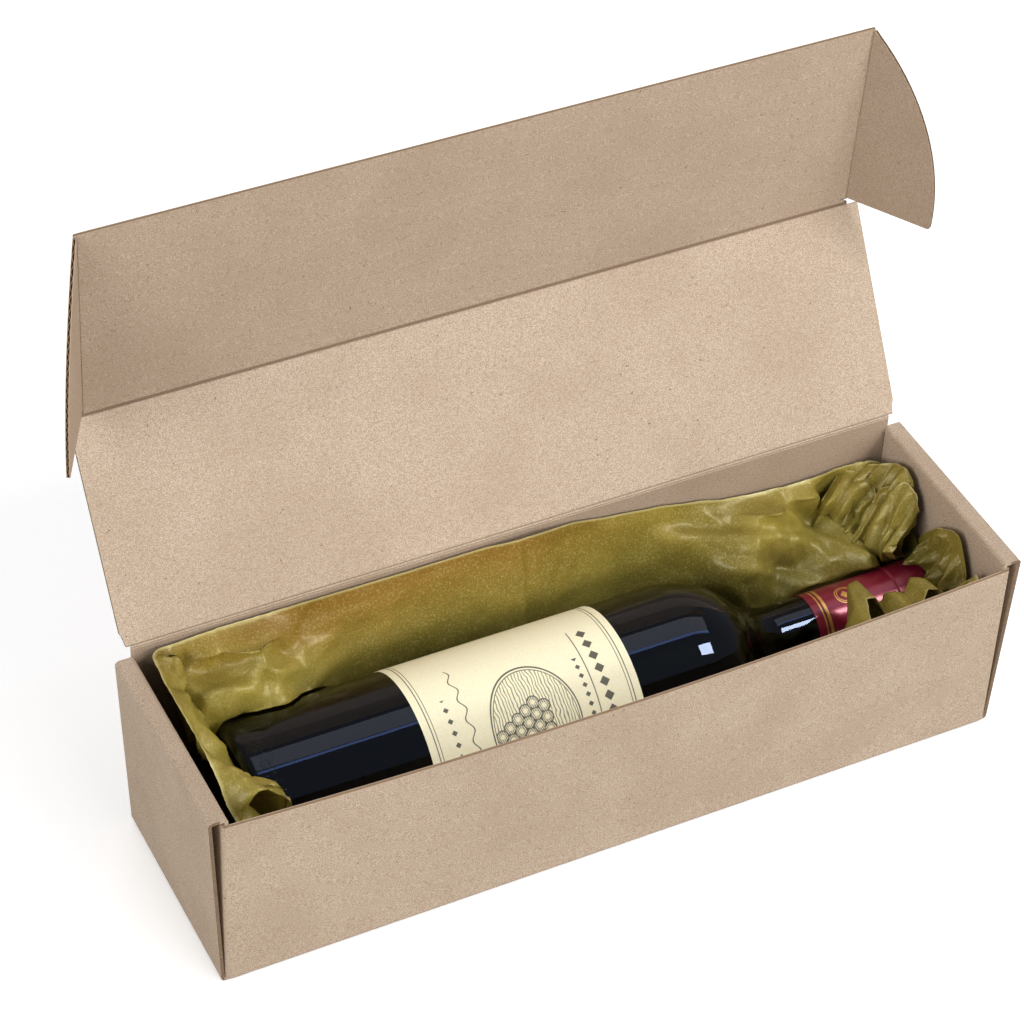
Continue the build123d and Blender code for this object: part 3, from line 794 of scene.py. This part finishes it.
class Facets:
    """Height noise of flat triangles that meet in sharp creases; it closes on itself after one turn."""

    def __init__(self, around, cell, seed):
        self.count = max(3, round(around / cell))
        self.cell = around / self.count
        self.rise = self.cell * sqrt(0.75)
        self.seed = seed
        self.known = {}

    def corner(self, i, j):
        key = (i % self.count, j)
        if key not in self.known:
            self.known[key] = Random(key[0] * 7919 + j * 104729 + self.seed).uniform(-1, 1)
        return self.known[key]

    def at(self, along, up):
        b = up / self.rise
        a = along / self.cell - b / 2
        i, j = int(a // 1), int(b // 1)
        a, b = a - i, b - j
        if a + b < 1:
            return self.corner(i, j) * (1 - a - b) + self.corner(i + 1, j) * a + self.corner(i, j + 1) * b
        return (self.corner(i + 1, j + 1) * (a + b - 1) + self.corner(i, j + 1) * (1 - a)
                + self.corner(i + 1, j) * (1 - b))


def bottle_reach(x):
    """Radius of the bottle that the sheet keeps outside of, in millimetres, at a place along it."""
    sizes = (BOTTLE_RADIUS, NECK_RADIUS, SHOULDER_RADIUS, NECK_BLEND)
    body, neck, shoulder, blend = (round(size / MM, 3) for size in sizes)
    start = SHOULDER_START / MM
    if x < start:
        return body
    rise = neck + blend - body + shoulder
    run = sqrt((shoulder + blend) ** 2 - rise ** 2)
    turn = shoulder * run / (shoulder + blend)
    if x < start + turn:
        return body - shoulder + sqrt(shoulder ** 2 - (x - start) ** 2)
    if x < start + run:
        return neck + blend - sqrt(blend ** 2 - (start + run - x) ** 2)
    return NECK_REACH


def keep_clear(point):
    """Moves a point out of the bottle and back into the room."""
    x, y, z = point
    base = BOTTLE_BASE / MM - SHEET_GAP
    mouth = BOTTLE_MOUTH / MM + MOUTH_PLAY + SHEET_GAP
    centre_y, centre_z = BOTTLE_Y / MM, BOTTLE_Z / MM
    if base < x < mouth:
        off_y, off_z = y - centre_y, z - centre_z
        off = hypot(off_y, off_z)
        need = bottle_reach(x) + SHEET_GAP
        if off < need:
            to_base, to_mouth = x - base, mouth - x
            if to_base < min(need - off, to_mouth):
                x = base
            elif to_mouth < need - off:
                x = mouth
            else:
                y = centre_y + off_y * need / max(off, 0.1)
                z = centre_z + off_z * need / max(off, 0.1)
    x = min(max(x, -ROOM_END), ROOM_END)
    y = min(max(y, ROOM_FRONT), ROOM_BACK)
    z = min(max(z, FOOT), ROOM_TOP)
    return Vector((x, y, z))


def wall_loop():
    """Places round the room's walls with rounded corners, with the way in and the length so far."""
    corners = ((ROOM_END, ROOM_FRONT, -90), (ROOM_END, ROOM_BACK, 0),
               (-ROOM_END, ROOM_BACK, 90), (-ROOM_END, ROOM_FRONT, 180))
    path = []
    for x, y, start in corners:
        centre = (x - CORNER if x > 0 else x + CORNER, y - CORNER if y > 0 else y + CORNER)
        for k in range(9):
            turn = radians(start + 90 * k / 8)
            path.append(Vector((centre[0] + CORNER * cos(turn), centre[1] + CORNER * sin(turn))))
    lengths = [0.0]
    for a, b in zip(path, path[1:] + path[:1]):
        lengths.append(lengths[-1] + (b - a).length)
    around = lengths[-1]
    count = round(around / LOOP_STEP)
    stations = []
    leg = 0
    for k in range(count):
        want = around * k / count
        while lengths[leg + 1] <= want:
            leg += 1
        a, b = path[leg], path[(leg + 1) % len(path)]
        share = (want - lengths[leg]) / (lengths[leg + 1] - lengths[leg])
        heading = (b - a).normalized()
        stations.append((a.lerp(b, share), Vector((-heading.y, heading.x)), want))
    return stations, around


def rim_at(stations, around):
    """Inset and height of the rim at each station."""
    marks = []
    for x, y, inset, height in RIM:
        nearest = min(stations, key=lambda s: (s[0] - Vector((x, y))).length)
        marks.append((nearest[2], inset, height))
    marks.sort()
    marks = [(marks[-1][0] - around, *marks[-1][1:])] + marks + [(marks[0][0] + around, *marks[0][1:])]
    rims = []
    for _, _, want in stations:
        for low, high in zip(marks, marks[1:]):
            if low[0] <= want <= high[0]:
                share = (want - low[0]) / max(high[0] - low[0], 1e-6)
                share = 0.5 * share + 0.5 * share * share * (3 - 2 * share)
                rims.append((low[1] + (high[1] - low[1]) * share, low[2] + (high[2] - low[2]) * share))
                break
    return rims


def section_at(place):
    """Section of the lining at a place on the wall, blended from those of the sides."""
    x, y = place
    shares = {"left": smooth(-x, 156, 169), "right": smooth(x, 158, 170)}
    rest = 1 - shares["left"] - shares["right"]
    side = smooth(y, -20, 20)
    bulge, slope = smooth(-x, 84, 108), smooth(x, 52, 96)
    shares["bulge"] = rest * side * bulge
    shares["slope"] = rest * side * slope
    shares["back"] = rest * side * (1 - bulge - slope)
    shares["front"] = rest * (1 - side)
    return [sum(shares[name] * SECTIONS[name][k] for name in SECTIONS) for k in range(len(SECTION_HEIGHTS))]


def fold_depth(x, z):
    """Depth of the folds pressed into the back at a place."""
    depth = 0.0
    for (x0, z0), (x1, z1), width, amount in BACK_FOLDS:
        along = Vector((x1 - x0, z1 - z0))
        length = along.length
        along /= length
        here = Vector((x - x0, z - z0))
        travel = here.dot(along)
        below = here.x * along.y - here.y * along.x
        before, after = -length * 0.15, length * 0.1
        window = smooth(travel, before, after) * smooth(length - travel, before, after)
        crest = smooth(below, -width * 0.2, width) * (1 - smooth(below, width * 1.2, width * 5))
        depth += amount * window * crest
    return depth


def crumple_share(x):
    """How strongly the sheet is crumpled: little along the middle, much at the ends."""
    return CRUMPLE_MIDDLE + max(CRUMPLE_LEFT * smooth(-x, 88, 126), CRUMPLE_RIGHT * smooth(x, 60, 115))


def basin(verts, faces, edge):
    """The lining's walls, row by row from the rim down, and then its floor."""
    stations, around = wall_loop()
    layers = [(Facets(around, cell, seed), size) for cell, seed, size in CRUMPLE_LAYERS]
    count = len(stations)
    rows = WALL_ROWS + 1
    for (place, inward, want), (rim_inset, top) in zip(stations, rim_at(stations, around)):
        share_of = crumple_share(place.x)
        controls = [Vector((rim_inset + inset, FOOT + (top - FOOT) * share))
                    for inset, share in zip(section_at(place), SECTION_HEIGHTS)]
        lengths = [0.0]
        fine = [through(controls, k / PROFILE_STEPS) for k in range(PROFILE_STEPS + 1)]
        for a, b in zip(fine, fine[1:]):
            lengths.append(lengths[-1] + (b - a).length)
        leg = 0
        for row in range(rows):
            goal = lengths[-1] * row / WALL_ROWS
            while leg < PROFILE_STEPS - 1 and lengths[leg + 1] < goal:
                leg += 1
            a, b = fine[leg], fine[leg + 1]
            share = (goal - lengths[leg]) / max(lengths[leg + 1] - lengths[leg], 1e-6)
            inset, height = a.lerp(b, min(share, 1.0))
            slope = (b - a).normalized()
            out = Vector((-slope.y, slope.x))
            spot = Vector((place.x + inward.x * inset, place.y + inward.y * inset, height))
            drift = noise.noise_vector(spot * 0.045) * 9.0
            bump = sum(size * layer.at(want + drift.x * (0.4 + k * 0.1), lengths[-1] - goal + drift.y * 0.5)
                       for k, (layer, size) in enumerate(layers))
            calm = smooth(row, 0, 5) * smooth(WALL_ROWS - row, -2, 6)
            bump = (bump + 2.0 * share_of) * share_of * calm
            if place.y > 20:
                bump += fold_depth(spot.x, spot.z) * calm
            bump += noise.noise(spot * 0.3) * 0.35 * (0.3 + share_of)
            inset, height = max(inset + out.x * bump, 0.15), height + out.y * bump
            spot = Vector((place.x + inward.x * inset, place.y + inward.y * inset, height))
            verts.append(keep_clear(spot))
            # 1 on the rim row, for the painted highlight
            edge.append(1.0 if row == 0 else 0.0)
    for k in range(count):
        after = (k + 1) % count
        for row in range(WALL_ROWS):
            a, b = k * rows + row, after * rows + row
            faces.append((a + 1, b + 1, b, a))
    lay_floor([k * rows + WALL_ROWS for k in range(count)], verts, faces, edge)


def lay_floor(feet, verts, faces, edge):
    """Rings from the walls' feet in to a line under the bottle."""
    count = len(feet)
    ring = feet
    for row in range(1, FLOOR_ROWS + 1):
        share = row / FLOOR_ROWS
        fresh = []
        for foot in feet:
            low = verts[foot]
            goal = Vector((min(max(low.x, -FLOOR_END), FLOOR_END), BOTTLE_Y / MM, FOOT))
            spot = low.lerp(goal, share)
            spot.z = FOOT + abs(noise.noise(spot * 0.12)) * 0.6
            fresh.append(len(verts))
            verts.append(spot)
            edge.append(0.0)
        for k in range(count):
            after = (k + 1) % count
            faces.append((fresh[k], fresh[after], ring[after], ring[k]))
        ring = fresh


def add_lobe(lobe, seed, verts, faces, edge):
    """A loose lobe of the sheet between its base and its rim, with pleats that run down from the rim."""
    rim, base, pleats = lobe["rim"], lobe["base"], lobe["pleats"]
    chance = Random(seed)
    phases = [chance.uniform(-0.16, 0.16) for _ in range(pleats + 2)]
    fine = (Facets(900, 13.0, seed), Facets(900, 6.5, seed + 3))
    width = sum((Vector(a) - Vector(b)).length for a, b in zip(rim, rim[1:]))
    columns = max(24, round(width / LOBE_STEP))
    light = Vector(LOBE_LIGHT)
    start = len(verts)
    for column in range(columns + 1):
        along = column / columns
        top, foot = through(rim, along), through(base, along)
        heading = through(rim, min(along + 0.02, 1)) - through(rim, max(along - 0.02, 0))
        normal = heading.cross(top - foot).normalized()
        if normal.dot(light) < 0:
            normal = -normal
        cell = along * pleats
        k = min(int(cell), pleats - 1)
        place = cell - k + phases[k] * (1 - (cell - k)) + phases[k + 1] * (cell - k)
        wave = 1 - 2 * abs(2 * (place % 1.0) - 1)
        wave *= abs(wave) ** 0.35
        for row in range(LOBE_ROWS + 1):
            up = row / LOBE_ROWS
            swell = lobe["bulge"] * sin(pi * up ** 0.8)
            gather = lobe["depth"] * wave * (0.35 + 0.65 * sin(pi * min(up * 1.05, 1.0)))
            spot = foot.lerp(top, up)
            crush = sum(size * layer.at(along * width + 40, up * 52 + 7 * noise.noise(spot * 0.09))
                        for layer, size in zip(fine, (5.0, 2.2)))
            curl = smooth(up, 0.9, 1.0)
            spot += normal * (swell + gather + crush - LOBE_CURL * curl)
            verts.append(keep_clear(spot))
            # 1 on the lobe's rim, for the painted highlight
            edge.append(smooth(row, LOBE_ROWS - 1, LOBE_ROWS))
    rows = LOBE_ROWS + 1
    for column in range(columns):
        for row in range(LOBE_ROWS):
            a = start + column * rows + row
            b = a + rows
            faces.append((a, b, b + 1, a + 1))


def make_tissue():
    """The whole sheet as one piece; its attribute marks the rim for the material's painted highlight."""
    noise.seed_set(NOISE_SEED)      # without it the vector noise differs from run to run
    verts, faces, edge = [], [], []
    basin(verts, faces, edge)
    for number, lobe in enumerate(LOBES):
        add_lobe(lobe, LOBE_SEED + LOBE_SEED_STEP * number, verts, faces, edge)
    points = [tuple(v * MM for v in vert) for vert in verts]
    piece = make_piece("tissue_sheet", points, faces, angle=180)
    # the edge attribute marks the rim for a painted highlight
    mark = piece.data.attributes.new("edge", "FLOAT", "POINT")
    for item, value in zip(mark.data, edge):
        item.value = value
    tidy_mesh(piece)
    settle(piece, "tray", tissue_material(), "gold_tissue", "tissue")


def tidy_mesh(piece):
    """Joins points that meet and drops faces with no area."""
    mesh = bmesh.new()
    mesh.from_mesh(piece.data)
    bmesh.ops.remove_doubles(mesh, verts=mesh.verts, dist=0.03 * MM)
    bmesh.ops.dissolve_degenerate(mesh, edges=mesh.edges, dist=0.02 * MM)
    mesh.to_mesh(piece.data)
    mesh.free()


def tissue_material():
    """Gold tissue: olive, with painted light as amber high on the back, painted shade lower down, a painted
    highlight along its rim, and fine creases.
    """
    graph = Graph("gold_tissue")
    spot = graph.place.outputs["Object"]
    x, y, z = graph.split(spot)
    cloud = graph.noise(spot, 16.0, 3.0, 0.6)
    olive = graph.mix(graph.band(cloud, 0.35, 0.65), srgb(124, 109, 38), srgb(160, 143, 60))
    # painted light: amber reflected light high on the back of the sheet
    high = graph.band(graph.math("ADD", z, graph.math("MULTIPLY", cloud, 0.03)), 0.072, 0.112)
    middle = graph.band(graph.math("ABSOLUTE", graph.math("ADD", x, 0.055)), 0.04, 0.13, 1.0, 0.25)
    at_back = graph.band(y, 0.025, 0.043)
    amber_light = graph.math("MULTIPLY", graph.math("MULTIPLY", high, middle), at_back)
    colour = graph.mix(amber_light, olive, srgb(128, 93, 24))
    # painted shade: the sheet darker lower down, near the bottle
    low = graph.band(z, 0.04, 0.078, 0.75, 0.0)
    colour = graph.mix(low, colour, srgb(76, 72, 25))
    grain = graph.noise(spot, 1200.0, 2.0, 0.7)
    colour = graph.mix(graph.band(grain, 0.45, 0.8, 0.0, 0.3), colour, srgb(228, 216, 140))
    # painted highlight: the rim made paler along its edge
    rim = graph.add("ShaderNodeAttribute", attribute_name="edge")
    colour = graph.mix(graph.math("MULTIPLY", rim.outputs["Fac"], 0.55), colour, srgb(222, 212, 150))
    crease = graph.noise(spot, 120.0, 4.0, 0.6, 0.6)
    ridge = graph.math("ABSOLUTE", graph.math("SUBTRACT", crease, 0.5))
    normal = graph.bump(ridge, 0.0011, 0.45)
    normal = graph.bump(grain, 0.00006, 0.4, normal)
    return graph.finish(colour, 0.42, normal, Metallic=0.12, Specular_IOR_Level=0.55)


# Stage, light and camera

FLOOR_HALF = 6
FLOOR_DROP = 0.0002
FLOOR_SEEN = (0.98, 0.98, 0.98)     # by the camera, in reflections and through glass
FLOOR_LIT = (0.38, 0.38, 0.38)      # by the light that it throws back on the box
FLOOR_GLOW = 0.26
WORLD_STRENGTH = 0.25
LAMP_AIM = Vector((0, 0, 0.08))
WHITE = (1, 1, 1)

# Lamps: name, place, size, watts, colour, and whether reflections show it
LAMPS = (
    ("key", (0.86, -0.62, 1.2), (0.4, 0.34), 10, WHITE, True),
    ("front", (0.6, -1.9, 0.62), (1.6, 0.9), 31, WHITE, False),
    ("side", (-1.7, -0.5, 0.8), (1.4, 1.0), 23, WHITE, True),
    ("back", (0.2, 1.9, 0.9), (1.6, 0.9), 13, WHITE, False),
    ("top", (0.42, 0.24, 1.45), (1.5, 0.56), 2.6, (1.0, 0.92, 0.84), True),
    ("cool_edge", (0.42, -0.09, 1.45), (1.5, 0.08), 1.0, (0.4, 0.55, 1.0), True),
)


def make_stage():
    """White floor that keeps the box's shadow."""
    half = FLOOR_HALF
    verts = [(-half, -half, 0), (half, -half, 0), (half, half, 0), (-half, half, 0)]
    floor = make_piece("floor", verts, [(0, 1, 2, 3)], smooth=False)
    graph = Graph("floor_white")
    path = graph.add("ShaderNodeLightPath")
    seen = graph.math("MAXIMUM", path.outputs["Is Camera Ray"], path.outputs["Is Glossy Ray"])
    seen = graph.math("MAXIMUM", seen, path.outputs["Is Transmission Ray"])
    colour = graph.mix(seen, FLOOR_LIT, FLOOR_SEEN)
    glow = graph.math("MULTIPLY", seen, FLOOR_GLOW)
    graph.finish(colour, 0.9, None, Specular_IOR_Level=0.0, Emission_Color=(1.0, 1.0, 1.0, 1.0),
                 Emission_Strength=glow)
    floor.data.materials.append(graph.material)
    floor.location.z = -FLOOR_DROP


def make_lamp(name, place, size, power, colour, glossy):
    """Rectangular lamp that faces the box, with its long side along the box."""
    data = bpy.data.lights.new(name, "AREA")
    data.shape = "RECTANGLE"
    data.size, data.size_y = size
    data.energy = power
    data.color = colour
    lamp = bpy.data.objects.new(name, data)
    bpy.context.collection.objects.link(lamp)
    back = (Vector(place) - LAMP_AIM).normalized()
    along = (Vector((1, 0, 0)) - back * back.x).normalized()
    axes = Matrix((along, back.cross(along), back)).transposed().to_4x4()
    lamp.matrix_world = Matrix.Translation(place) @ axes
    lamp.visible_glossy = glossy


def make_light():
    """The lamps and an even white world."""
    for lamp in LAMPS:
        make_lamp(*lamp)
    world = bpy.data.worlds.new("studio")
    bpy.context.scene.world = world
    world.use_nodes = True
    back = world.node_tree.nodes["Background"]
    back.inputs["Color"].default_value = (1.0, 1.0, 1.0, 1.0)
    back.inputs["Strength"].default_value = WORLD_STRENGTH


def make_camera():
    """Camera at the photograph's angle, aimed a little to the side of the box's middle."""
    level = cos(CAMERA_ELEVATION)
    back = Vector((sin(CAMERA_AZIMUTH) * level, -cos(CAMERA_AZIMUTH) * level, sin(CAMERA_ELEVATION)))
    right = Vector((0, 0, 1)).cross(back).normalized()
    up = back.cross(right)
    centre = Vector((0, 0, CAMERA_CENTRE_HEIGHT)) + right * CAMERA_ASIDE + up * CAMERA_UP
    turned_right = right * cos(CAMERA_ROLL) + up * sin(CAMERA_ROLL)
    turned_up = up * cos(CAMERA_ROLL) - right * sin(CAMERA_ROLL)
    data = bpy.data.cameras.new("camera")
    data.lens = CAMERA_LENS
    data.sensor_width = CAMERA_SENSOR
    data.clip_start = 0.05
    camera = bpy.data.objects.new("camera", data)
    bpy.context.collection.objects.link(camera)
    axes = Matrix((turned_right, turned_up, back)).transposed().to_4x4()
    camera.matrix_world = Matrix.Translation(centre + back * CAMERA_DISTANCE) @ axes
    bpy.context.scene.camera = camera


bpy.context.scene.view_settings.view_transform = "Standard"
make_camera()
make_stage()
make_light()
dress_board()
make_bottle()
make_tissue()
